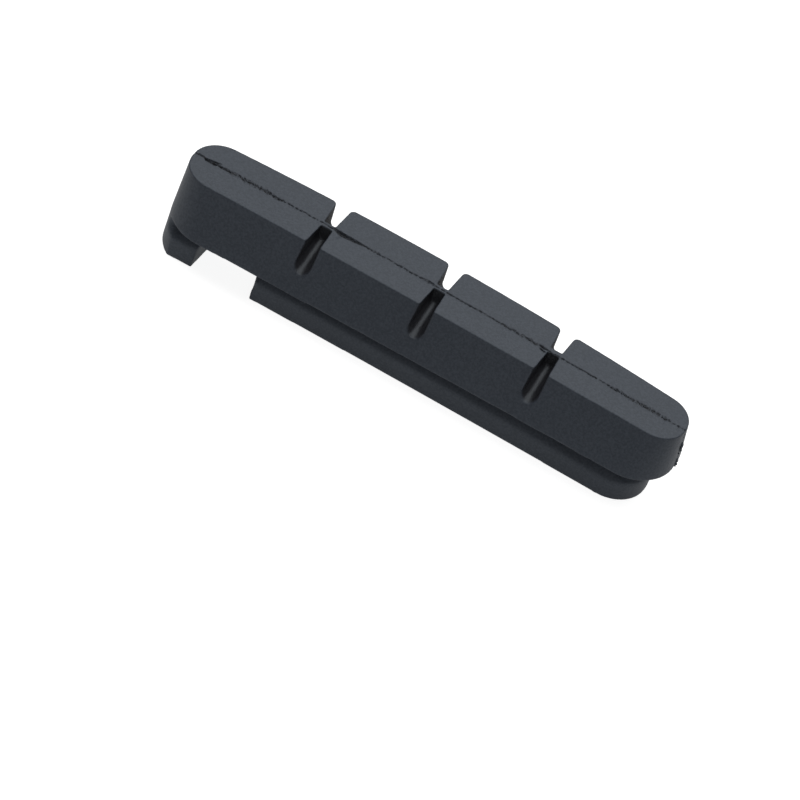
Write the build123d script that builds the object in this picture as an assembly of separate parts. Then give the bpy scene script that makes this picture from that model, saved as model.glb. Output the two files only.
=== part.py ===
from build123d import *
from math import atan, degrees, sqrt
import os

# Rim brake pad: one moulded rubber block that slides into a metal holder.
# Millimetres. X runs from the lug end to the plain end, Y across the pad, +Z is the way the braking face looks.
# The rail's middle plane is Y = 0 and the pad's middle is X = 0 until the finished pad is set on the origin.

# Overall length, and heights from the back of the rail.
# The shoulder rises a little from the lug end to the plain end.
pad_length = 55.4
pad_height = 9.35
shoulder_height_lug_end = 3.88
shoulder_height_plain_end = 4.68

# Body across, at the shoulder, which is its widest level
near_half_width = 5.3
far_half_width = 5.3
near_side_radius = 1500
far_side_radius = 305
far_crest_x = -3.8
near_corner_radius = 4.6
far_corner_radius = 3.4

# Draft of the body from the shoulder up to the braking face, whose ends are almost fully round.
# The near side slopes about twice as much as the far side.
near_side_draft = 2.18
far_side_draft = 1.2
lug_end_draft = 0.05
plain_end_draft = 0.55
face_end_flat = 0.25

# Rail that slides in the holder. It bows gently, hollow on the near side and round on the far side.
rail_width = 8.3
rail_height = 2.5
rail_near_radius = 1030
rail_near_crest_x = 5.1
rail_far_radius = 1050
rail_far_crest_x = -10
rail_end_inset = 1.6
rail_end_corner_radius = 3.8

# Groove for the holder's lips between rail and shoulder
groove_depth = 1.25
groove_root_radius = 0.45

# Notch across the rail for the holder's retaining screw, half round in the middle.
# It runs slightly aslant, towards the lug end on the far side.
lug_length = 4.65
notch_side_width = 6.5
notch_side_height = 3.3
notch_side_corner_radius = 1.3
notch_middle_width = 5.7
notch_middle_height = 2.8
notch_crown_flat = 0.2
notch_slant = 0.5

# Water slots across the braking face, in pairs that leave a thin web between them.
# Inner sizes are at the web, outer ones at the distance of the shoulder from the rail's middle plane.
# The foot heights are measured from the middle of the shoulder: the far slots fall more steeply.
slot_count = 3
slot_pitch = 12.6
web_thickness = 0.7
web_offset = 0.27
slot_inner_width = 1.22
slot_outer_width = 1.78
slot_inner_foot_height = 3.47
slot_near_foot_height = 1.57
slot_far_foot_height = 0.72
near_lip_radius = 0.25
far_lip_radius = 0.55

# Reach of the cutting shapes past the solid that they cut
cut_clearance = 2.0

lug_end_x = -pad_length / 2
plain_end_x = pad_length / 2
rail_end_x = plain_end_x - rail_end_inset
notch_x = lug_end_x + lug_length + notch_side_width / 2
shoulder_height = (shoulder_height_lug_end + shoulder_height_plain_end) / 2
shoulder_tilt = degrees(atan((shoulder_height_plain_end - shoulder_height_lug_end) / pad_length))
slot_inner_depth = pad_height - shoulder_height - slot_inner_foot_height
slot_near_outer_depth = pad_height - shoulder_height - slot_near_foot_height
slot_far_outer_depth = pad_height - shoulder_height - slot_far_foot_height


def arc_drop(radius, reach):
    """How far an arc falls below its crest at a given distance along."""
    return radius - sqrt(radius ** 2 - reach ** 2)


def bowed_outline(near_side, far_side, left_x, right_x, corner_radii):
    """Outline between two long arcs and two straight ends, seen from above.

    A side is (level at its crest, radius, crest x). Radii run near left, near right, far right, far left.
    """
    near_level, near_radius, near_crest = near_side
    far_level, far_radius, far_crest = far_side
    near_left = (left_x, near_level - arc_drop(near_radius, left_x - near_crest))
    near_right = (right_x, near_level - arc_drop(near_radius, right_x - near_crest))
    far_right = (right_x, far_level - arc_drop(far_radius, right_x - far_crest))
    far_left = (left_x, far_level - arc_drop(far_radius, left_x - far_crest))
    face = make_face(
        [
            ThreePointArc(near_left, (near_crest, near_level), near_right),
            Line(near_right, far_right),
            ThreePointArc(far_right, (far_crest, far_level), far_left),
            Line(far_left, near_left),
        ]
    )
    for corner, radius in zip((near_left, near_right, far_right, far_left), corner_radii):
        if radius:
            vertex = face.vertices().sort_by_distance(Vector(*corner))[0]
            face = fillet(vertex, radius)
    return face


def shoulder_outline():
    """Outline of the body at its widest level."""
    near_side = (-near_half_width, near_side_radius, 0)
    far_side = (far_half_width, far_side_radius, far_crest_x)
    radii = [near_corner_radius, near_corner_radius, far_corner_radius, far_corner_radius]
    return bowed_outline(near_side, far_side, lug_end_x, plain_end_x, radii)


def face_outline():
    """Outline of the braking face, with its ends almost fully round."""
    near_side = (near_side_draft - near_half_width, near_side_radius, 0)
    far_side = (far_half_width - far_side_draft, far_side_radius, far_crest_x)
    left_x = lug_end_x + lug_end_draft
    right_x = plain_end_x - plain_end_draft
    lug_radius, plain_radius = (end_radius(near_side, far_side, x) for x in (left_x, right_x))
    return bowed_outline(near_side, far_side, left_x, right_x, [lug_radius, plain_radius, plain_radius, lug_radius])


def end_radius(near_side, far_side, x):
    """Corner radius that rounds an end almost fully."""
    near_y = near_side[0] - arc_drop(near_side[1], x - near_side[2])
    far_y = far_side[0] - arc_drop(far_side[1], x - far_side[2])
    return (far_y - near_y - face_end_flat) / 2


def on_shoulder(outline):
    """Lays an outline on the shoulder's gently rising plane."""
    return Pos(0, 0, shoulder_height) * Rot(0, -shoulder_tilt, 0) * outline


def drafted_body():
    """Block between the shoulder and the braking face, narrower at the face."""
    return loft([on_shoulder(shoulder_outline()), Pos(0, 0, pad_height) * face_outline()], ruled=True)


def under_body():
    """Prism under the shoulder, down to the top of the rail, that the groove is cut from."""
    outline = shoulder_outline()
    return loft([Pos(0, 0, rail_height) * outline, on_shoulder(outline)], ruled=True)


def rail_outline():
    """Outline of the rail, running on past the lug end, where the body's end trims it."""
    near_side = (-rail_width / 2, rail_near_radius, rail_near_crest_x)
    far_side = (rail_width / 2, rail_far_radius, rail_far_crest_x)
    corner_radius = min(rail_end_corner_radius, end_radius(near_side, far_side, rail_end_x))
    radii = [0, corner_radius, corner_radius, 0]
    return bowed_outline(near_side, far_side, lug_end_x - cut_clearance, rail_end_x, radii)


def rail():
    """Flat strip that slides in the holder, flush with the lug end and round at its other end."""
    return extrude(rail_outline() & shoulder_outline(), rail_height)


def holder_groove():
    """Groove for the holder's lips, along both sides and round the plain end, with a rounded root."""
    slab = Rectangle(pad_length + cut_clearance / 2, 2 * (near_half_width + cut_clearance))
    slab = loft([Pos(0, 0, rail_height) * slab, on_shoulder(slab)], ruled=True)
    neck = extrude(offset(rail_outline(), -groove_depth, kind=Kind.INTERSECTION), pad_height)
    cutter = slab - neck
    neck_reach = rail_width / 2
    roots = [
        edge for edge in cutter.edges().filter_by(Axis.Z, reverse=True)
        if abs(edge.center().Y) < neck_reach and edge.center().X < rail_end_x
    ]
    return fillet(roots, groove_root_radius)


def notch_profile(width, height, corner_radius, x, y):
    """Arched opening of the screw notch, in a plane across the rail."""
    arch = Rectangle(width, height + cut_clearance, align=(Align.CENTER, Align.MAX))
    arch = fillet(arch.vertices().group_by(Axis.Y)[-1], corner_radius)
    plane = Plane((x, y, height), x_dir=(1, 0, 0), z_dir=(0, -1, 0))
    return plane * arch


def screw_notch():
    """Groove across the rail, half round in the middle and opening towards both sides."""
    middle_radius = (notch_middle_width - notch_crown_flat) / 2
    middle_x = notch_x - notch_slant / 2
    middle = notch_profile(notch_middle_width, notch_middle_height, middle_radius, middle_x, 0)
    cutters = []
    for side in (-1, 1):
        mouth_x = middle_x - side * notch_slant / 2
        mouth_y = side * rail_width / 2
        mouth = notch_profile(notch_side_width, notch_side_height, notch_side_corner_radius, mouth_x, mouth_y)
        cutters.append(loft([middle, mouth], ruled=True))
        cutters.append(extrude(mouth, cut_clearance, dir=(0, side, 0)))
    return cutters


def slot_profile(x, y, width, depth):
    """Opening of one slot in a plane across its length, with a fully round foot."""
    foot_radius = width / 2
    opening = Rectangle(width, depth - foot_radius + cut_clearance, align=(Align.CENTER, Align.MIN))
    opening += Circle(foot_radius)
    plane = Plane((x, y, pad_height - depth + foot_radius), x_dir=(1, 0, 0), z_dir=(0, -1, 0))
    return plane * opening


def half_slot(x, web_y, side_y, outer_depth):
    """Slot from the web out through one side, widening and deepening on its way."""
    inner = slot_profile(x, web_y, slot_inner_width, slot_inner_depth)
    outer = slot_profile(x, side_y, slot_outer_width, outer_depth)
    return loft([inner, outer], ruled=True)


def water_slots():
    """Pairs of half slots along the braking face, one pair for each web."""
    near_web_y = web_offset - web_thickness / 2
    far_web_y = web_offset + web_thickness / 2
    cutters = []
    for index in range(slot_count):
        x = (index - (slot_count - 1) / 2) * slot_pitch
        cutters.append(half_slot(x, near_web_y, -near_half_width, slot_near_outer_depth))
        cutters.append(half_slot(x, far_web_y, far_half_width, slot_far_outer_depth))
    return cutters


def slotted_body():
    """Block with its water slots, whose lips are rounded where they open through the sides."""
    body = drafted_body()
    for cutter in water_slots():
        body -= cutter
    body = fillet(slot_lips(body, -1), near_lip_radius)
    return fillet(slot_lips(body, 1), far_lip_radius)


def slot_lips(body, side):
    """Edges round the slots' openings in the near side (-1) or the far side (1)."""
    side_reach = near_half_width - near_side_draft
    slots_reach = slot_count * slot_pitch / 2
    return [
        edge for edge in body.edges()
        if side * edge.center().Y > side_reach and abs(edge.center().X) < slots_reach
        and shoulder_height_plain_end < edge.center().Z < pad_height - far_lip_radius
    ]


def brake_pad():
    """The whole pad as one solid, standing on the back of its rail."""
    pad = slotted_body() + under_body() + rail()
    for cutter in [holder_groove()] + screw_notch():
        pad -= cutter
    return pad


def set_on_origin(pad):
    """Put the middle of the pad's footprint on the origin."""
    box = pad.bounding_box()
    return Pos(-box.center().X, -box.center().Y, -box.min.Z) * pad


os.makedirs("parts", exist_ok=True)
export_step(set_on_origin(brake_pad()), "parts/brake_pad_insert.step")
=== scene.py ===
from math import cos, exp, radians, sin, sqrt

import bmesh
import bpy
import numpy as np
from bpy.props import FloatProperty, FloatVectorProperty, IntProperty, PointerProperty
from mathutils import Matrix, Vector, noise


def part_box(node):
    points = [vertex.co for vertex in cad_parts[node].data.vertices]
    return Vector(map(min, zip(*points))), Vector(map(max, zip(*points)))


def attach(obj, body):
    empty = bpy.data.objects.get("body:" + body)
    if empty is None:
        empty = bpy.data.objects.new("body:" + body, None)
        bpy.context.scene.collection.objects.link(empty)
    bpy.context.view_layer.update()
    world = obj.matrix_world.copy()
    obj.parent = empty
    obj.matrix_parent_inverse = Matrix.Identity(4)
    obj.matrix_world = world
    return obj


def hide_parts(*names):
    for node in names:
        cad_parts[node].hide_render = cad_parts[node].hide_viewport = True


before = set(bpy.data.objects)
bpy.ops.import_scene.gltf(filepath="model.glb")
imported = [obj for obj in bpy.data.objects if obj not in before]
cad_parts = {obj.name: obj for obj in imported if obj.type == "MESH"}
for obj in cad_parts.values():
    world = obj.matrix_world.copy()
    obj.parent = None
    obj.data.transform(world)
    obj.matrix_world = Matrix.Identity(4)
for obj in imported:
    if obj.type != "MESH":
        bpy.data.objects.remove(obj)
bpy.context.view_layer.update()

bl_info = {
    "name": "Rim Brake Pad",
    "version": (1, 0, 0),
    "blender": (4, 5, 0),
    "location": "3D View > Sidebar > Brake Pad",
    "description": "Moulded rubber, parting line and studio stage for a slide-in rim brake pad",
    "category": "Object",
}

# Lengths in this file are millimetres; Blender's own unit is the metre.
MM = 0.001
WHITE = (1.0, 1.0, 1.0, 1.0)
PAD_NODE = "brake_pad_insert"
PAD_BODY = "root"
PAD_LOW, PAD_HIGH = (Vector(corner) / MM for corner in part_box(PAD_NODE))

# Marks on the skin that the rubber's material reads: how torn it is, how deep in a water slot it
# lies, which darkens the slot as painted shade, and how dull the slot's wall is, from -1 on the near half
# to 1 on the far half
TORN = "torn"
RECESS = "recess"
DULL = "dull"


# Settings

class BlockSettings(bpy.types.PropertyGroup):
    cell: FloatProperty(
        name="Cell",
        description="Size of the even faces that the block is moulded from, in millimetres",
        default=0.075, min=0.04, max=0.5)
    rounding: IntProperty(
        name="Edge rounding", description="Smoothing passes that soften every moulded edge",
        default=3, min=0, max=40)
    rail_rounding: IntProperty(
        name="Rail rounding",
        description="Smoothing passes that round the rail's upper edge into the groove",
        default=180, min=0, max=400)
    groove_slope: FloatProperty(
        name="Groove slope",
        description="How steeply the groove's floor rises inwards from the rail's edge",
        default=1.0, min=0.0, max=1.0)
    triangles: IntProperty(
        name="Triangles",
        description="Triangles that are left once the flat parts are thinned out",
        default=175000, min=20000, max=195000)


class SeamSettings(bpy.types.PropertyGroup):
    crest_x: FloatProperty(
        name="Crest along",
        description="Where the parting line bows furthest to the far side, in millimetres",
        default=-12.25)
    crest_y: FloatProperty(
        name="Crest across",
        description="How far across the pad the parting line lies there, in millimetres",
        default=0.369)
    bow_radius: FloatProperty(
        name="Bow radius",
        description="Radius of the parting line's long shallow bow, in millimetres",
        default=1150.0, min=100.0)
    width: FloatProperty(
        name="Width",
        description="Half width of the line where the mould halves met, in millimetres",
        default=0.08, min=0.01, max=0.4)
    depth: FloatProperty(
        name="Depth", description="Depth of the ragged line, in millimetres",
        default=0.1, min=0.0, max=0.3)
    wander: FloatProperty(
        name="Wander", description="How far the ragged line strays from its bow, in millimetres",
        default=0.06, min=0.0, max=0.3)


class FlashSettings(bpy.types.PropertyGroup):
    spacing: FloatProperty(
        name="Spacing",
        description="Distance between points along the thread of flash, in millimetres",
        default=0.07, min=0.02, max=0.5)
    thickness: FloatProperty(
        name="Thickness", description="Half thickness of the thickest shreds of flash, in millimetres",
        default=0.05, min=0.01, max=0.2)
    steepness: FloatProperty(
        name="Steepness", description="How much taller than thick the shreds stand",
        default=1.6, min=0.5, max=5.0)
    coverage: FloatProperty(
        name="Coverage", description="Share of the parting line that still carries flash",
        default=0.47, min=0.0, max=1.0, subtype="FACTOR")
    seed: IntProperty(
        name="Seed", description="Number that fixes where the flash has torn off", default=7)


class NibSettings(bpy.types.PropertyGroup):
    count: IntProperty(
        name="Count", description="Crumbs in each torn tuft at the plain end", default=26, min=1, max=200)
    size: FloatProperty(
        name="Size", description="Radius of the largest crumb, in millimetres",
        default=0.2, min=0.02, max=0.5)
    spread: FloatProperty(
        name="Spread",
        description="How far the crumbs lie to each side of the parting line, in millimetres",
        default=0.16, min=0.0, max=0.5)
    seed: IntProperty(name="Seed", description="Number that fixes the crumbs' places", default=3)


class RubberSettings(bpy.types.PropertyGroup):
    colour: FloatVectorProperty(
        name="Rubber", description="Colour of the moulded rubber", subtype="COLOR", size=3,
        default=(0.031, 0.037, 0.048), min=0.0, max=1.0)
    bloom: FloatVectorProperty(
        name="Bloom",
        description="Colour of the faint grey bloom on the rubber", subtype="COLOR", size=3,
        default=(0.047, 0.055, 0.069), min=0.0, max=1.0)
    # This colour also serves as the painted shade that darkens the water slots' walls
    torn: FloatVectorProperty(
        name="Torn rubber",
        description="Colour of the raw rubber where it has torn", subtype="COLOR", size=3,
        default=(0.014, 0.012, 0.0115), min=0.0, max=1.0)
    roughness: FloatProperty(
        name="Roughness", description="Roughness of the moulded skin",
        default=0.48, min=0.0, max=1.0, subtype="FACTOR")
    grain: FloatProperty(
        name="Grain", description="Size of the mould's fine grain, in millimetres",
        default=0.22, min=0.02, max=2.0)
    grain_depth: FloatProperty(
        name="Grain depth", description="Depth of the mould's fine grain, in millimetres",
        default=0.02, min=0.0, max=0.1)


class StageSettings(bpy.types.PropertyGroup):
    azimuth: FloatProperty(
        name="Azimuth", description="Camera's turn round the pad from its near side",
        default=radians(10.462), subtype="ANGLE")
    elevation: FloatProperty(
        name="Elevation", description="Camera's height above the horizon",
        default=radians(43.528), subtype="ANGLE")
    roll: FloatProperty(
        name="Roll", description="Camera's turn about its own line of sight",
        default=radians(22.165), subtype="ANGLE")
    distance: FloatProperty(
        name="Distance", description="Camera's distance from its aim, in millimetres",
        default=330.357, min=50.0)
    lens: FloatProperty(
        name="Focal length", description="Camera's focal length on a 36 mm wide sensor",
        default=153.069, min=10.0, unit="CAMERA")
    aim: FloatVectorProperty(
        name="Aim", description="Point that the camera looks at, in millimetres",
        size=3, default=(1.337, -4.944, -1.192))
    floor: FloatVectorProperty(
        name="Floor", description="Colour of the backlit floor", subtype="COLOR", size=3,
        default=(0.45, 0.45, 0.45), min=0.0, max=1.0)


# Shader maths

class Wire:
    """A shader socket that can be used in plain arithmetic: each operation adds its own node."""

    def __init__(self, graph, socket):
        self.graph = graph
        self.socket = socket

    def maths(self, operation, *operands):
        """One Math node in this wire's graph."""
        return self.graph.maths(operation, *operands)

    def __add__(self, other):
        return self.maths("ADD", self, other)

    def __radd__(self, other):
        return self.maths("ADD", other, self)

    def __sub__(self, other):
        return self.maths("SUBTRACT", self, other)

    def __rsub__(self, other):
        return self.maths("SUBTRACT", other, self)

    def __mul__(self, other):
        return self.maths("MULTIPLY", self, other)

    def __rmul__(self, other):
        return self.maths("MULTIPLY", other, self)

    def clamp(self, low, high):
        """This wire's value, kept between two limits."""
        return self.maths("MINIMUM", self.maths("MAXIMUM", self, low), high)


class ShaderGraph:
    """Node tree of one new material or world."""

    def __init__(self, owner):
        owner.use_nodes = True
        self.tree = owner.node_tree
        self.tree.nodes.clear()

    def pick(self, sockets, key):
        """The socket with an index, or the one in use among those that share a name."""
        if isinstance(key, int):
            return sockets[key]
        return next(socket for socket in sockets if socket.name == key and socket.enabled)

    def node(self, kind, settings=None, values=None, output=0):
        """Adds one node, its settings before its socket values or links, and returns one output."""
        node = self.tree.nodes.new(kind)
        for name, value in (settings or {}).items():
            setattr(node, name, value)
        for key, value in (values or {}).items():
            socket = self.pick(node.inputs, key)
            if isinstance(value, Wire):
                self.tree.links.new(value.socket, socket)
            else:
                socket.default_value = value
        return Wire(self, self.pick(node.outputs, output)) if node.outputs else None

    def maths(self, operation, *operands):
        """One Math node."""
        values = {index: operand for index, operand in enumerate(operands)}
        return self.node("ShaderNodeMath", {"operation": operation}, values)

    def noise(self, place, scale, detail=2.0, roughness=0.5):
        """Noise from 0 to 1 at a place."""
        values = {"Vector": place, "Scale": scale, "Detail": detail, "Roughness": roughness}
        return self.node("ShaderNodeTexNoise", {"noise_dimensions": "3D"}, values, output="Fac")

    def point(self, x, y, z):
        """Point or vector from three numbers or wires."""
        return self.node("ShaderNodeCombineXYZ", None, {"X": x, "Y": y, "Z": z})


class GrowthGraph(ShaderGraph):
    """Geometry Nodes tree with named inputs that grows a piece of real faces with a material."""

    def __init__(self, name, inputs):
        self.tree = bpy.data.node_groups.new(name, "GeometryNodeTree")
        self.tree.interface.new_socket("Geometry", in_out="OUTPUT", socket_type="NodeSocketGeometry")
        for label, kind in inputs.items():
            self.tree.interface.new_socket(label, in_out="INPUT", socket_type=kind)
        self.source = self.tree.nodes.new("NodeGroupInput")

    def given(self, label):
        """Wire from one of the tree's own inputs."""
        return Wire(self, self.source.outputs[label])

    def finish(self, geometry, material):
        """Ends the tree in realized instances and the piece's material."""
        whole = self.node("GeometryNodeRealizeInstances", None, {"Geometry": geometry})
        dressed = self.node("GeometryNodeSetMaterial", None, {"Geometry": whole, "Material": material})
        self.node("NodeGroupOutput", None, {"Geometry": dressed})


# Sizes of the rubber's broad clouds and of its orange peel
CLOUD_SIZE = 9.0
PEEL_SIZE = 1.3


def rubber_material(settings):
    """Matte black moulded rubber: fine grain, a faint uneven bloom, dark raw rubber where it tore, and
    painted shade deep in the water slots.
    """
    material = bpy.data.materials.new("moulded_rubber")
    graph = ShaderGraph(material)
    place = graph.node("ShaderNodeTexCoord", output="Object")
    clouds = graph.noise(place, 1.0 / (CLOUD_SIZE * MM), 3.0)
    grain = graph.noise(place, 1.0 / (settings.grain * MM), 4.0, 0.6)
    orange_peel = graph.noise(place, 1.0 / (PEEL_SIZE * MM))
    bloom = (clouds - 0.5 + (grain - 0.5) * 4.5 + 0.45).clamp(0.0, 1.0)
    torn = graph.node("ShaderNodeAttribute", {"attribute_name": TORN}, output="Fac").clamp(0.0, 1.0)
    recess = graph.node("ShaderNodeAttribute", {"attribute_name": RECESS}, output="Fac").clamp(0.0, 1.0)
    dull = graph.node("ShaderNodeAttribute", {"attribute_name": DULL}, output="Fac").clamp(-1.0, 1.0)
    # Dark raw rubber where it tore, and painted shade in the water slots that grows darker with their
    # depth
    raw_and_slot_shade = graph.maths("MAXIMUM", torn, recess * 0.7)
    skin = graph.node(
        "ShaderNodeMix", {"data_type": "RGBA"},
        {"Factor": bloom, "A": (*settings.colour, 1.0), "B": (*settings.bloom, 1.0)}, output="Result")
    colour = graph.node(
        "ShaderNodeMix", {"data_type": "RGBA"},
        {"Factor": raw_and_slot_shade, "A": skin, "B": (*settings.torn, 1.0)}, output="Result")
    relief = grain + orange_peel * 0.6
    bump = graph.node("ShaderNodeBump", None, {"Height": relief, "Distance": settings.grain_depth * MM})
    uneven = (grain - 0.5) * 0.12 + (clouds - 0.5) * 0.1
    surface = graph.node(
        "ShaderNodeBsdfPrincipled", None,
        {
            "Base Color": colour,
            "Roughness": uneven + torn * 0.35 + dull * 0.2 + recess * 0.05 + settings.roughness,
            "Specular IOR Level": 0.4,
            "Specular Tint": (0.86, 0.93, 1.0, 1.0),
            "Normal": bump,
        })
    graph.node("ShaderNodeOutputMaterial", None, {"Surface": surface})
    return material


# Shapes of the parting line

def seam_y(x, seam):
    """Place of the parting line across the pad, which is one long shallow bow."""
    return seam.crest_y - (x - seam.crest_x) ** 2 / (2 * seam.bow_radius)


class Tear:
    """A place where a piece of rubber tore out beside the parting line when the flash was pulled off."""

    # Run of the steep far wall, and the least share of width and depth near a tear's tips
    FAR_WALL_RUN = 0.05
    LEAST_WIDTH = 0.1
    LEAST_DEPTH = 0.3

    def __init__(self, start_x, end_x, start_offset, end_offset, width, depth, tapers_to_end):
        self.start_x = start_x
        self.end_x = end_x
        self.start_offset = start_offset
        self.end_offset = end_offset
        self.width = width
        self.depth = depth
        self.tapers_to_end = tapers_to_end

    def depth_at(self, x, offset):
        """Depth of the tear at a point: a steep wall on its far side and a slope on its near side."""
        share = (x - self.start_x) / (self.end_x - self.start_x)
        if not 0.0 <= share <= 1.0:
            return 0.0
        if self.tapers_to_end:
            fullness = min(1.0, 0.35 + 2.5 * share) * sqrt(1.0 - share)
        else:
            fullness = min(1.0, 6.0 * share, 6.0 * (1.0 - share))
        far_wall = self.start_offset + (self.end_offset - self.start_offset) * share
        below = far_wall - offset
        if below <= 0.0:
            return self.depth * fullness * max(0.0, 1.0 + below / self.FAR_WALL_RUN)
        slope = 2.0 - 2.0 * below / (self.width * max(fullness, self.LEAST_WIDTH))
        return self.depth * max(fullness, self.LEAST_DEPTH) * min(1.0, max(0.0, slope))


# The torn places: start and end along the pad, offset of the far wall from the parting line at
# each, width, depth, and whether the tear narrows all the way to its end
TEARS = (
    Tear(-27.35, -26.5, 0.16, 0.10, 0.10, 0.12, False),
    Tear(-27.1, -26.2, 0.0, -0.04, 0.10, 0.12, False),
    Tear(-26.6, -24.9, 0.04, 0.02, 0.40, 0.26, False),
    Tear(-26.3, -24.7, 0.05, 0.34, 0.16, 0.18, False),
    Tear(-25.2, -22.9, 0.02, -0.03, 0.36, 0.22, True),
    Tear(-12.05, -8.2, 0.16, 0.06, 0.74, 0.34, True),
    Tear(10.9, 11.8, 0.16, 0.04, 0.26, 0.2, False),
    Tear(11.1, 11.85, -0.26, -0.40, 0.18, 0.18, False),
    Tear(-1.6, -0.7, 0.26, 0.12, 0.12, 0.12, False),
)


# Stretches along the pad where the line is broad and frayed: start, end, how frayed
FRAYS = ((-24.3, -17.6, 1.0), (-8.4, -6.2, 0.4), (-2.4, -1.0, 0.9), (6.5, 11.9, 0.7), (18.6, 25.6, 0.8))
# Distance along the pad over which a frayed stretch comes and goes
FRAY_FADE = 0.6


def fray(x):
    """How frayed the parting line is at a place along the pad, from 0 to about 1."""
    strength = 0.0
    for start, end, more in FRAYS:
        inside = min(x - start, end - x)
        strength = max(strength, more * min(1.0, max(0.0, inside / FRAY_FADE)))
    return strength


# How far below the braking face the fraying, the line's full strength and the torn places reach
FRAY_REACH = 0.3
FULL_REACH = 0.4
TEAR_REACH = 0.5
# Share of its strength that the line keeps below its full reach
SIDE_STRENGTH = 0.4
# Depth at which a torn place shows raw rubber all over
RAW_DEPTH = 0.07


def wobble(x, y, z=0.0):
    """Smooth noise between about -1 and 1."""
    return noise.noise(Vector((x, y, z)))


def seam_relief(point, seam):
    """Depth of the parting line's relief at a point of the skin, in millimetres, and how torn it is."""
    x, y, z = point
    along = x + z
    frayed = fray(x) if z > PAD_HIGH.z - FRAY_REACH else 0.0
    offset = y - seam_y(x, seam)
    # The line strays from its bow in slow and quick waves and in short ticks
    stray = seam.wander * (wobble(along * 0.9, 3.1) + 0.6 * wobble(along * 4.1, 8.3))
    ticks = (0.05 + 0.2 * frayed) * wobble(along * 5.0 + offset * 4.0, 5.5)
    strayed = offset - stray - ticks
    # Its width and strength vary along it, and frayed stretches break up into specks
    width = seam.width * (1.0 + 1.4 * frayed + 0.4 * wobble(along * 2.3, 1.7, 5.0))
    strength = 0.8 + 0.5 * wobble(along * 0.8, 4.4, 2.0) + 1.3 * wobble(along * 3.6, 6.1, 9.0)
    strength = min(1.1, max(0.0, strength + 0.3 * frayed))
    if z < PAD_HIGH.z - FULL_REACH:
        strength *= SIDE_STRENGTH
    speckle = 1.0 - frayed * (0.15 - 1.3 * wobble(x * 6.5 + y * 5.0, y * 7.0, 3.0))
    line = strength * max(0.0, speckle) * exp(-((strayed / width) ** 2))
    # Crumbs roughen it on both sides, and a low ridge runs along its far side
    crumbs = 0.06 * wobble(x * 7.0, y * 7.0, z * 7.0) * exp(-((offset / (3.0 * width)) ** 2))
    ridge = 0.3 * strength * exp(-(((strayed - 2.0 * width) / width) ** 2))
    depth = seam.depth * (line - ridge) + crumbs
    torn = 0.75 * line
    if z > PAD_HIGH.z - TEAR_REACH:
        gouge = max(tear.depth_at(x, offset + 0.4 * stray) for tear in TEARS)
        gouge *= 1.0 + 0.5 * wobble(x * 5.0, y * 5.0, 2.0)
        depth = max(depth, gouge)
        patches = 0.6 + 0.7 * wobble(x * 3.0, y * 9.0, 6.0)
        torn = max(torn, min(1.0, gouge / RAW_DEPTH) * min(1.0, max(0.3, patches)))
    return depth, min(1.0, torn)


# Meshes

# The rail seen from above. A side is its level across the pad at its crest, where the crest lies
# along the pad, and its bow radius. A corner is its centre and its radius.
RAIL_NEAR_SIDE = (-4.061, 5.1, 1030.0)
RAIL_FAR_SIDE = (4.239, -10.0, 1050.0)
LUG_NEAR_CORNER = (-23.1, -0.61, 4.6)
LUG_FAR_CORNER = (-24.3, 1.99, 3.4)
# The rail's round end: where its centre lies along the pad, half of its flat, and its radius
ROUND_END = (22.3, 0.15, 3.8)
# Inset given to places that no corner touches
FAR_INSIDE = 9.0

RAIL_TOP = 2.5
# How far below the rail's top the skin still counts as the groove's floor
FLOOR_SLACK = 0.1
# Flat ledge at the rail's edge, how far the groove's floor goes on rising past it, and the inset
# at which the groove ends
LEDGE = 0.1
RISE_REACH = 1.3
GROOVE_REACH = 1.6
# Places along the pad where the groove's floor falls flat for the screw notch and rises again
NOTCH_SPAN = (-23.0, -22.0, -18.0, -16.9)
# Height of the shoulder over the middle of the pad, and its rise along the pad
SHOULDER = (4.28, 0.01444)

# Heights between which the rail's upper edge is rounded: start, full, full, end
RAIL_BAND = (1.2, 1.8, 3.2, 3.8)
# How much of the rail's rounding the edges of the shoulder and of the back get
SOFT_SHARE = 0.1
# Steps between an edge that isn't rounded and one that is rounded fully
WEIGHT_LEVELS = 40
# Distances from the shoulder's edge and from the back over which their rounding fades
SHOULDER_BAND = (0.25, 0.45)
BACK_BAND = (0.4, 0.7)

# Places of the water slots along the pad, and the reach and lowest level of each slot's walls
SLOTS = (-12.6, 0.0, 12.6)
SLOT_REACH = 1.15
SLOT_FOOT = 4.9
# Distances from the side and from the braking face over which the slots' marks grow full, and the
# span across the web where their marks change from the near half to the far half
SIDE_FADE = (0.08, 0.35)
FACE_FADE = (0.04, 0.16)
WEB_SPAN = (-0.3, 0.6)
# The body's half width at the shoulder, and what each side draws in up to the braking face
SHOULDER_HALF_WIDTH = 5.3
NEAR_DRAFT = 2.18
FAR_DRAFT = 1.2
# The far side's bow: where its crest lies along the pad, and its radius
FAR_CREST_X = -3.8
FAR_BOW_RADIUS = 305.0


def as_object(name, mesh):
    """New object at the origin that shows a mesh."""
    thing = bpy.data.objects.new(name, mesh)
    bpy.context.scene.collection.objects.link(thing)
    return thing


def settled(thing, name):
    """The object's mesh with its modifiers applied, as a new mesh."""
    depsgraph = bpy.context.evaluated_depsgraph_get()
    mesh = bpy.data.meshes.new_from_object(thing.evaluated_get(depsgraph))
    mesh.name = name
    return mesh


def replace_mesh(thing, mesh):
    """Gives an object a finished mesh and removes its modifiers."""
    old = thing.data
    thing.modifiers.clear()
    thing.data = mesh
    bpy.data.meshes.remove(old)


def welded_copy(node, name):
    """Copy of the solid's skin in millimetres, with its loose triangles joined."""
    mesh = node.data.copy()
    mesh.name = name
    mesh.materials.clear()
    mesh.transform(Matrix.Scale(1.0 / MM, 4))
    skin = bmesh.new()
    skin.from_mesh(mesh)
    bmesh.ops.remove_doubles(skin, verts=skin.verts, dist=0.0005)
    skin.to_mesh(mesh)
    skin.free()
    return mesh


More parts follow.
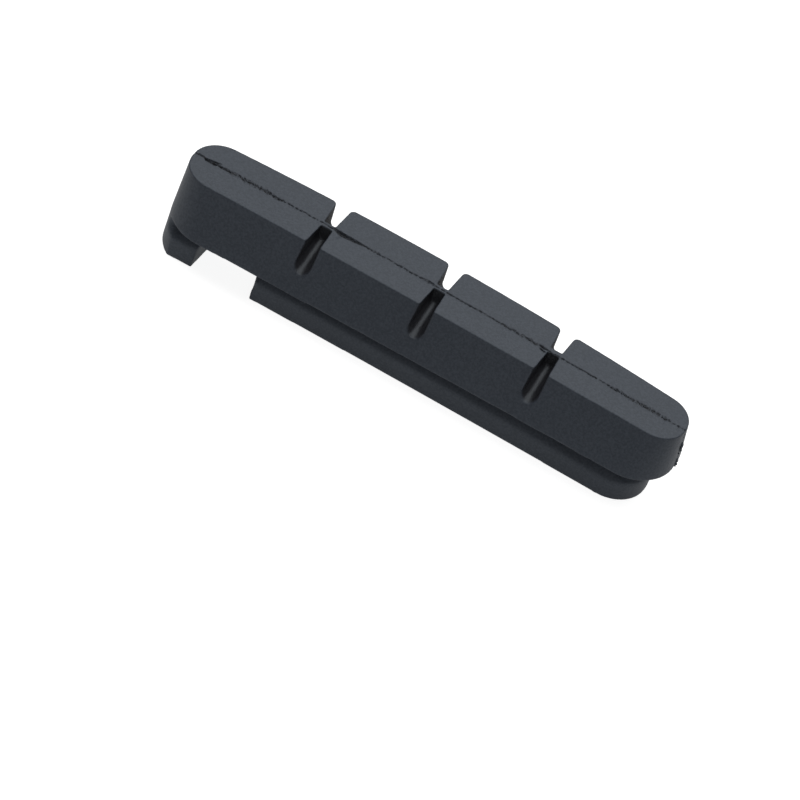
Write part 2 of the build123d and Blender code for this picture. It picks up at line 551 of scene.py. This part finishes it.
def refine_band(mesh, seam, reach):
    """Halves the faces beside the parting line where it shows, so that its ragged edge has room."""
    skin = bmesh.new()
    skin.from_mesh(mesh)
    edges = []
    for edge in skin.edges:
        middle = (edge.verts[0].co + edge.verts[1].co) / 2
        if middle.z > PAD_HIGH.z / 2 and abs(middle.y - seam_y(middle.x, seam)) < reach:
            edges.append(edge)
    bmesh.ops.subdivide_edges(skin, edges=edges, cuts=1, use_grid_fill=True)
    skin.to_mesh(mesh)
    skin.free()


def bowed_side(x, side):
    """Place across the pad of a long bowed side."""
    level, crest_x, radius = side
    return level - (x - crest_x) ** 2 / (2 * radius)


def rail_inset(x, y):
    """How far inside the rail's outline a place lies, seen from above."""
    near = bowed_side(x, RAIL_NEAR_SIDE)
    far = bowed_side(x, RAIL_FAR_SIDE)
    inset = np.minimum(y - near, far - y)
    end_x, half_flat, end_radius = ROUND_END
    across = np.maximum(np.abs(y - (near + far) / 2) - half_flat, 0.0)
    from_end = end_radius - np.hypot(np.maximum(x - end_x, 0.0), across)
    inset = np.where(x > end_x, np.minimum(inset, from_end), inset)
    for outwards, (corner_x, corner_y, radius) in ((-1.0, LUG_NEAR_CORNER), (1.0, LUG_FAR_CORNER)):
        from_corner = radius - np.hypot(np.minimum(x - corner_x, 0.0), y - corner_y)
        from_corner = np.where(outwards * (y - corner_y) > 0.0, from_corner, FAR_INSIDE)
        inset = np.where(x < corner_x, np.minimum(inset, from_corner), inset)
    return inset


def slope_groove(mesh, steepness):
    """Lets the groove's floor rise inwards from the rail's edge."""
    points = np.empty(len(mesh.vertices) * 3)
    mesh.vertices.foreach_get("co", points)
    x, y, z = points[0::3], points[1::3], points[2::3]
    inset = rail_inset(x, y)
    shoulder = SHOULDER[0] + SHOULDER[1] * x
    inside = (z > RAIL_TOP - FLOOR_SLACK) & (z < shoulder) & (inset > 0.0) & (inset < GROOVE_REACH)
    past_notch = np.interp(x, NOTCH_SPAN, (1.0, 0.0, 0.0, 1.0))
    rise = steepness * np.clip(inset - LEDGE, 0.0, RISE_REACH) * past_notch
    share = np.clip((shoulder - z) / (shoulder - RAIL_TOP), 0.0, 1.0)
    z += np.where(inside, rise * share, 0.0)
    mesh.vertices.foreach_set("co", points)
    mesh.update()


def weigh_edges(block):
    """Vertex group that is full round the rail's upper edge and faint at the shoulder and the back."""
    points = np.empty(len(block.data.vertices) * 3)
    block.data.vertices.foreach_get("co", points)
    x, z = points[0::3], points[2::3]
    rail = np.interp(z, RAIL_BAND, (0.0, 1.0, 1.0, 0.0))
    from_shoulder = np.abs(z - SHOULDER[0] - SHOULDER[1] * x)
    shoulder = np.interp(from_shoulder, SHOULDER_BAND, (SOFT_SHARE, 0.0))
    back = np.interp(z, BACK_BAND, (SOFT_SHARE, 0.0))
    levels = np.round(np.maximum(rail, np.maximum(shoulder, back)) * WEIGHT_LEVELS).astype(int)
    group = block.vertex_groups.new(name="Soft edges")
    for level in range(1, WEIGHT_LEVELS + 1):
        group.add(np.nonzero(levels == level)[0].tolist(), level / WEIGHT_LEVELS, "REPLACE")
    return group.name


def mark_slots(mesh):
    """Marks the water slots' walls: how deep in a slot a point lies, which the material turns into
    painted shade, and on which half of the pad.
    """
    count = len(mesh.vertices)
    points = np.empty(count * 3)
    mesh.vertices.foreach_get("co", points)
    x, y, z = points[0::3], points[1::3], points[2::3]
    level = np.clip((z - SHOULDER[0]) / (PAD_HIGH.z - SHOULDER[0]), 0.0, 1.0)
    near = y + SHOULDER_HALF_WIDTH - NEAR_DRAFT * level
    bow = (x - FAR_CREST_X) ** 2 / (2 * FAR_BOW_RADIUS)
    far = SHOULDER_HALF_WIDTH - FAR_DRAFT * level - bow - y
    from_slot = np.min([np.abs(x - slot) for slot in SLOTS], axis=0)
    deep = np.interp(np.minimum(near, far), SIDE_FADE, (0.0, 1.0))
    deep *= np.interp(PAD_HIGH.z - z, FACE_FADE, (0.0, 1.0))
    deep *= (from_slot < SLOT_REACH) * (z > SLOT_FOOT)
    mesh.attributes.new(RECESS, "FLOAT", "POINT").data.foreach_set("value", deep)
    side = np.interp(y, WEB_SPAN, (-1.0, 1.0))
    mesh.attributes.new(DULL, "FLOAT", "POINT").data.foreach_set("value", deep * side)


def carve_seam(mesh, seam, reach):
    """Sinks the parting line and the torn places into the skin, and marks where the rubber is torn."""
    count = len(mesh.vertices)
    points = np.empty(count * 3)
    normals = np.empty(count * 3)
    mesh.vertices.foreach_get("co", points)
    mesh.vertex_normals.foreach_get("vector", normals)
    points = points.reshape(-1, 3)
    normals = normals.reshape(-1, 3)
    offsets = np.abs(points[:, 1] - seam_y(points[:, 0], seam))
    torn = np.zeros(count)
    for index in np.nonzero(offsets < reach)[0]:
        depth, torn[index] = seam_relief(points[index], seam)
        points[index] -= normals[index] * depth
    # Nothing stands out below the back that the pad lies on
    points[:, 2] = np.maximum(points[:, 2], 0.0)
    mesh.vertices.foreach_set("co", points.ravel())
    mesh.attributes.new(TORN, "FLOAT", "POINT").data.foreach_set("value", torn)
    mesh.update()


def grown(name, graph, values):
    """New object at the origin whose plain mesh grew from a Geometry Nodes tree with the given inputs."""
    thing = as_object(name, bpy.data.meshes.new(name))
    growth = thing.modifiers.new(name, "NODES")
    growth.node_group = graph.tree
    for item in graph.tree.interface.items_tree:
        if item.in_out == "INPUT":
            growth[item.identifier] = values[item.name]
    mesh = settled(thing, name)
    if not mesh.polygons:
        raise RuntimeError(name + " came out empty")
    mesh.transform(Matrix.Scale(MM, 4))
    replace_mesh(thing, mesh)
    return thing


# Operators

class BRAKEPAD_OT_block(bpy.types.Operator):
    """Mould the pad's rubber block from its solid, with soft edges and the carved parting line"""
    bl_idname = "brake_pad.block"
    bl_label = "Moulded Block"

    # Distance from the parting line within which the skin is carved
    SEAM_REACH = 0.75

    def execute(self, context):
        settings = context.scene.brake_pad_block
        seam = context.scene.brake_pad_seam
        block = as_object("brake_pad_rubber", welded_copy(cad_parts[PAD_NODE], "welded_pad"))
        remesh = block.modifiers.new("Even faces", "REMESH")
        remesh.mode = "VOXEL"
        remesh.voxel_size = settings.cell
        remesh.use_smooth_shade = True
        soften = block.modifiers.new("Soft edges", "SMOOTH")
        soften.factor = 0.5
        soften.iterations = settings.rounding
        mesh = settled(block, "even_pad")
        slope_groove(mesh, settings.groove_slope)
        replace_mesh(block, mesh)
        round_off = block.modifiers.new("Round rail", "SMOOTH")
        round_off.factor = 0.5
        round_off.iterations = settings.rail_rounding
        round_off.vertex_group = weigh_edges(block)
        mesh = settled(block, "rounded_pad")
        block.vertex_groups.clear()
        mark_slots(mesh)
        refine_band(mesh, seam, self.SEAM_REACH)
        carve_seam(mesh, seam, self.SEAM_REACH)
        replace_mesh(block, mesh)
        thin = block.modifiers.new("Thin flats", "DECIMATE")
        mesh.calc_loop_triangles()
        thin.ratio = min(1.0, settings.triangles / len(mesh.loop_triangles))
        mesh = settled(block, "brake_pad_rubber")
        if not mesh.polygons:
            raise RuntimeError("the block came out empty")
        mesh.transform(Matrix.Scale(MM, 4))
        mesh.polygons.foreach_set("use_smooth", [True] * len(mesh.polygons))
        replace_mesh(block, mesh)
        mesh.materials.append(rubber_material(context.scene.brake_pad_rubber))
        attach(block, PAD_BODY)
        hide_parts(PAD_NODE)
        return {"FINISHED"}


class BRAKEPAD_OT_parting_flash(bpy.types.Operator):
    """Grow the torn thread of flash that stands along the parting line on the braking face"""
    bl_idname = "brake_pad.parting_flash"
    bl_label = "Parting Flash"

    INPUTS = {
        "Start": "NodeSocketFloat", "End": "NodeSocketFloat", "Face Height": "NodeSocketFloat",
        "Crest X": "NodeSocketFloat", "Crest Y": "NodeSocketFloat", "Bow Radius": "NodeSocketFloat",
        "Spacing": "NodeSocketFloat", "Thickness": "NodeSocketFloat", "Steepness": "NodeSocketFloat",
        "Coverage": "NodeSocketFloat", "Seed": "NodeSocketInt",
    }
    # Distances of the thread from the lug end and the plain end, and how far it sits in the face
    LUG_MARGIN = 1.0
    PLAIN_MARGIN = 1.3
    SUNK = 0.03

    def thread(self, graph):
        """Curve along the bow of the parting line, in the pieces that have stayed on."""
        start = graph.given("Start")
        spacing = graph.given("Spacing")
        face = graph.given("Face Height")
        count = graph.maths("DIVIDE", graph.given("End") - start, spacing)
        line = graph.node(
            "GeometryNodeMeshLine", {"mode": "OFFSET"},
            {
                "Count": count, "Start Location": graph.point(start, 0.0, 0.0),
                "Offset": graph.point(spacing, 0.0, 0.0),
            })
        here = graph.node("GeometryNodeInputPosition")
        x = graph.node("ShaderNodeSeparateXYZ", None, {"Vector": here}, output="X")
        run = graph.point(x, graph.given("Seed") * 7.3, 0.0)
        from_crest = x - graph.given("Crest X")
        bow = graph.maths("DIVIDE", from_crest * from_crest, graph.given("Bow Radius") * 2.0)
        stray = (graph.noise(run, 2.6) - 0.5) * 0.26
        y = graph.given("Crest Y") - bow + stray
        line = graph.node(
            "GeometryNodeSetPosition", None, {"Geometry": line, "Position": graph.point(x, y, face)})
        bare = graph.maths("GREATER_THAN", graph.noise(run, 0.7, 3.0), graph.given("Coverage"))
        line = graph.node(
            "GeometryNodeDeleteGeometry", {"domain": "POINT"}, {"Geometry": line, "Selection": bare})
        return graph.node("GeometryNodeMeshToCurve", None, {"Mesh": line})

    def execute(self, context):
        seam = context.scene.brake_pad_seam
        flash = context.scene.brake_pad_flash
        graph = GrowthGraph("parting_flash", self.INPUTS)
        here = graph.node("GeometryNodeInputPosition")
        ragged = (graph.noise(here, 5.0, 2.0, 0.7) - 0.3).clamp(0.02, 1.0) * 1.8
        profile = graph.node("GeometryNodeCurvePrimitiveCircle", None, {"Resolution": 6, "Radius": 1.0})
        solid = graph.node(
            "GeometryNodeCurveToMesh", None,
            {
                "Curve": self.thread(graph), "Profile Curve": profile,
                "Scale": ragged * graph.given("Thickness"), "Fill Caps": True,
            })
        face = graph.given("Face Height")
        x, y, z = (
            graph.node("ShaderNodeSeparateXYZ", None, {"Vector": here}, output=axis) for axis in "XYZ")
        taller = face + (z - face) * graph.given("Steepness")
        solid = graph.node(
            "GeometryNodeSetPosition", None, {"Geometry": solid, "Position": graph.point(x, y, taller)})
        graph.finish(solid, bpy.data.materials["moulded_rubber"])
        shreds = grown(
            "parting_flash", graph,
            {
                "Start": PAD_LOW.x + self.LUG_MARGIN, "End": PAD_HIGH.x - self.PLAIN_MARGIN,
                "Face Height": PAD_HIGH.z - self.SUNK,
                "Crest X": seam.crest_x, "Crest Y": seam.crest_y, "Bow Radius": seam.bow_radius,
                "Spacing": flash.spacing, "Thickness": flash.thickness, "Steepness": flash.steepness,
                "Coverage": flash.coverage, "Seed": flash.seed,
            })
        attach(shreds, PAD_BODY)
        return {"FINISHED"}


class BRAKEPAD_OT_torn_nibs(bpy.types.Operator):
    """Grow the crumbs of torn flash that stick out of the plain end, along the parting line"""
    bl_idname = "brake_pad.torn_nibs"
    bl_label = "Torn Nibs"

    INPUTS = {
        "Low": "NodeSocketVector", "High": "NodeSocketVector", "Count": "NodeSocketInt",
        "Size": "NodeSocketFloat", "Spread": "NodeSocketFloat", "Seed": "NodeSocketInt",
    }
    # Largest turn of a crumb about each axis, in radians
    LARGEST_TURN = 0.9
    # Two tufts, each from its low end to its high end on the plain end's wall, beside the parting line
    TUFTS = (((27.66, 0.0, 4.85), (27.60, 0.0, 5.55)), ((27.48, 0.0, 6.55), (27.40, 0.0, 7.55)))

    def build_graph(self):
        graph = GrowthGraph("torn_nibs", self.INPUTS)
        line = graph.node(
            "GeometryNodeMeshLine", {"mode": "END_POINTS", "count_mode": "TOTAL"},
            {
                "Count": graph.given("Count"), "Start Location": graph.given("Low"),
                "Offset": graph.given("High"),
            })
        spread = graph.given("Spread")
        scatter = graph.node(
            "FunctionNodeRandomValue", {"data_type": "FLOAT_VECTOR"},
            {
                "Min": graph.point(spread * -0.5, spread * -1.0, spread * -0.5),
                "Max": graph.point(spread * 0.7, spread, spread * 0.5), "Seed": graph.given("Seed"),
            }, output="Value")
        line = graph.node("GeometryNodeSetPosition", None, {"Geometry": line, "Offset": scatter})
        crumb = graph.node("GeometryNodeMeshIcoSphere", None, {"Radius": 1.0, "Subdivisions": 2})
        size = graph.given("Size")
        stretch = graph.node(
            "FunctionNodeRandomValue", {"data_type": "FLOAT_VECTOR"},
            {
                "Min": graph.point(size * 0.25, size * 0.2, size * 0.25),
                "Max": graph.point(size, size * 0.6, size), "Seed": graph.given("Seed") + 1.0,
            }, output="Value")
        turn = graph.node(
            "FunctionNodeRandomValue", {"data_type": "FLOAT_VECTOR"},
            {
                "Min": (-self.LARGEST_TURN,) * 3, "Max": (self.LARGEST_TURN,) * 3,
                "Seed": graph.given("Seed") + 2.0,
            }, output="Value")
        crumbs = graph.node(
            "GeometryNodeInstanceOnPoints", None,
            {"Points": line, "Instance": crumb, "Rotation": turn, "Scale": stretch})
        graph.finish(crumbs, bpy.data.materials["moulded_rubber"])
        return graph

    def execute(self, context):
        seam = context.scene.brake_pad_seam
        nibs = context.scene.brake_pad_nibs
        graph = self.build_graph()
        for index, (low, high) in enumerate(self.TUFTS):
            aside = Vector((0.0, seam_y(low[0], seam), 0.0))
            tuft = grown(
                f"torn_nibs_{index + 1}", graph,
                {
                    "Low": Vector(low) + aside, "High": Vector(high) + aside, "Count": nibs.count,
                    "Size": nibs.size, "Spread": nibs.spread, "Seed": nibs.seed + 10 * index,
                })
            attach(tuft, PAD_BODY)
        return {"FINISHED"}


class BRAKEPAD_OT_stage(bpy.types.Operator):
    """Set up the pale floor, the soft studio light and the camera"""
    bl_idname = "brake_pad.stage"
    bl_label = "Studio Stage"

    # Radius of the floor, and the gap that keeps it clear of the pad's back
    FLOOR_RADIUS = 900.0
    FLOOR_DROP = 0.03
    # The floor's own glow, what the camera sees on top of it, and the light of the room
    FLOOR_GLOW = 0.39
    SEEN_GLOW = 0.51
    ROOM_LIGHT = 0.09
    SENSOR_WIDTH = 36.0
    # Soft boxes: name, place, length of a side, power in watts
    LAMPS = (
        ("overhead_softbox", (-40.0, 190.0, 470.0), 760.0, 3.42),
        ("front_fill", (90.0, -420.0, 260.0), 320.0, 0.15),
    )

    def make_floor(self, colour):
        """Pale round floor that fades to plain white for the camera and keeps the pad's shadow."""
        mesh = bpy.data.meshes.new("studio_floor")
        disc = bmesh.new()
        bmesh.ops.create_circle(disc, cap_ends=True, segments=96, radius=self.FLOOR_RADIUS * MM)
        disc.to_mesh(mesh)
        disc.free()
        mesh.transform(Matrix.Translation((0.0, 0.0, -self.FLOOR_DROP * MM)))
        floor = as_object("studio_floor", mesh)
        material = bpy.data.materials.new("studio_floor")
        graph = ShaderGraph(material)
        rays = graph.node("ShaderNodeLightPath", output="Is Camera Ray")
        matte = graph.node("ShaderNodeBsdfDiffuse", None, {"Color": (*colour, 1.0)})
        glow = rays * self.SEEN_GLOW + self.FLOOR_GLOW
        lift = graph.node("ShaderNodeEmission", None, {"Color": WHITE, "Strength": glow})
        both = graph.node("ShaderNodeAddShader", None, {0: matte, 1: lift})
        graph.node("ShaderNodeOutputMaterial", None, {"Surface": both})
        mesh.materials.append(material)

    def make_world(self, context):
        """Even pale room that the camera sees as plain white."""
        world = bpy.data.worlds.new("studio_room")
        context.scene.world = world
        graph = ShaderGraph(world)
        seen = graph.node("ShaderNodeLightPath", output="Is Camera Ray")
        room = graph.node("ShaderNodeBackground", None, {"Color": WHITE, "Strength": self.ROOM_LIGHT})
        white = graph.node("ShaderNodeBackground", None, {"Color": WHITE, "Strength": 1.0})
        mixed = graph.node("ShaderNodeMixShader", None, {0: seen, 1: room, 2: white})
        graph.node("ShaderNodeOutputWorld", None, {"Surface": mixed})

    def make_lamp(self, name, place, size, power):
        """Square soft box at a place in millimetres that shines at the pad."""
        light = bpy.data.lights.new(name, "AREA")
        light.shape = "SQUARE"
        light.size = size * MM
        light.energy = power
        lamp = as_object(name, light)
        lamp.location = Vector(place) * MM
        lamp.rotation_euler = (-Vector(place)).to_track_quat("-Z", "Y").to_euler()

    def make_camera(self, context, stage):
        """Camera at the viewing angle of the pad's picture."""
        camera = bpy.data.cameras.new("studio_camera")
        camera.lens = stage.lens
        camera.sensor_width = self.SENSOR_WIDTH
        camera.clip_start = 0.01
        camera.clip_end = 10.0
        eye = as_object("studio_camera", camera)
        level = cos(stage.elevation)
        back = Vector((level * sin(stage.azimuth), -level * cos(stage.azimuth), sin(stage.elevation)))
        turn = back.to_track_quat("Z", "Y").to_matrix() @ Matrix.Rotation(stage.roll, 3, "Z")
        place = (Vector(stage.aim) + back * stage.distance) * MM
        eye.matrix_world = Matrix.Translation(place) @ turn.to_4x4()
        context.scene.camera = eye

    def execute(self, context):
        stage = context.scene.brake_pad_stage
        self.make_floor(stage.floor)
        self.make_world(context)
        for name, place, size, power in self.LAMPS:
            self.make_lamp(name, place, size, power)
        self.make_camera(context, stage)
        context.scene.view_settings.view_transform = "Standard"
        return {"FINISHED"}


class BRAKEPAD_PT_panel(bpy.types.Panel):
    """Steps that dress the brake pad, in order"""
    bl_label = "Brake Pad"
    bl_space_type = "VIEW_3D"
    bl_region_type = "UI"
    bl_category = "Brake Pad"

    def draw(self, context):
        for step in STEPS:
            self.layout.operator(step.bl_idname)


SETTINGS = {
    "brake_pad_block": BlockSettings,
    "brake_pad_seam": SeamSettings,
    "brake_pad_flash": FlashSettings,
    "brake_pad_nibs": NibSettings,
    "brake_pad_rubber": RubberSettings,
    "brake_pad_stage": StageSettings,
}
STEPS = (BRAKEPAD_OT_block, BRAKEPAD_OT_parting_flash, BRAKEPAD_OT_torn_nibs, BRAKEPAD_OT_stage)


def register():
    for settings in SETTINGS.values():
        bpy.utils.register_class(settings)
    for name, settings in SETTINGS.items():
        setattr(bpy.types.Scene, name, PointerProperty(type=settings))
    for step in STEPS:
        bpy.utils.register_class(step)
    bpy.utils.register_class(BRAKEPAD_PT_panel)


def unregister():
    bpy.utils.unregister_class(BRAKEPAD_PT_panel)
    for step in reversed(STEPS):
        bpy.utils.unregister_class(step)
    for name in SETTINGS:
        delattr(bpy.types.Scene, name)
    for settings in SETTINGS.values():
        bpy.utils.unregister_class(settings)


def main():
    """Dresses the pad."""
    register()
    bpy.ops.brake_pad.block()
    bpy.ops.brake_pad.parting_flash()
    bpy.ops.brake_pad.torn_nibs()
    bpy.ops.brake_pad.stage()


if __name__ == "__main__":
    main()
